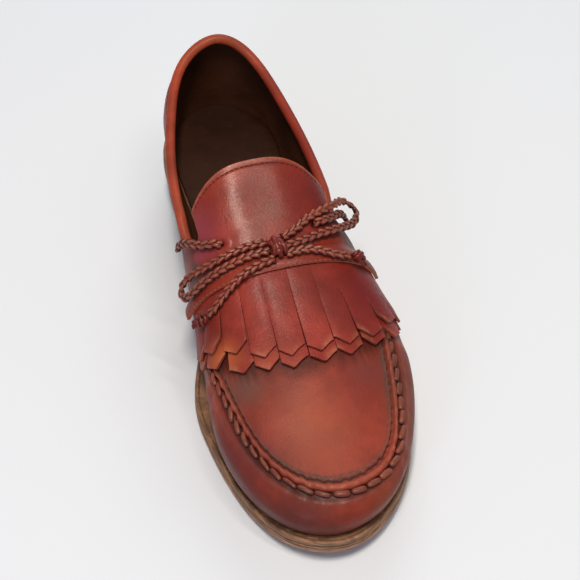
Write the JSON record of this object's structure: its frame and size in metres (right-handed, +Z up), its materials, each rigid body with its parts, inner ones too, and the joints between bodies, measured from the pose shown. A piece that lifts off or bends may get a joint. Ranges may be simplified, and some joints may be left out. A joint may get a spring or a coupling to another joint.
{
  "type": "kiltie loafer",
  "caption": "Leather slip-on shoe with a moccasin seam, a domed tongue with a two-layer cut fringe and a braided leather bow, on a stacked heel.",
  "frame": {"origin": "on the floor under the middle of the shoe's box without the bow", "axes": "+X towards the lateral side, -Y towards the toe, +Z up"},
  "size_m": [0.1116, 0.295, 0.0981],
  "materials": {
    "vamp_leather": "polished smooth leather",
    "tongue_leather": "polished grained leather",
    "fringe_leather": "polished smooth leather",
    "lace_leather": "braided leather",
    "welt_leather": "worn edge-dressed leather",
    "sole_leather": "matte sole leather",
    "heel_leather": "dark stacked leather",
    "top_lift_rubber": "matte",
    "insole_leather": "worn smooth leather"
  },
  "bodies": {
    "root": {"outsole": "sole_leather", "welt": "welt_leather", "heel_stack": "heel_leather", "top_lift": "top_lift_rubber", "insole": "insole_leather", "upper": "vamp_leather", "tongue": "tongue_leather", "kiltie_under": "fringe_leather", "kiltie_top": "fringe_leather", "lace_bar_medial": "lace_leather", "lace_bar_lateral": "lace_leather", "lace_knot": "lace_leather", "lace_loop_medial": "lace_leather", "lace_loop_lateral": "lace_leather", "lace_end_medial": "lace_leather", "lace_end_lateral": "lace_leather", "end_knot_medial": "lace_leather", "end_knot_lateral": "lace_leather"}
  },
  "joints": []
}
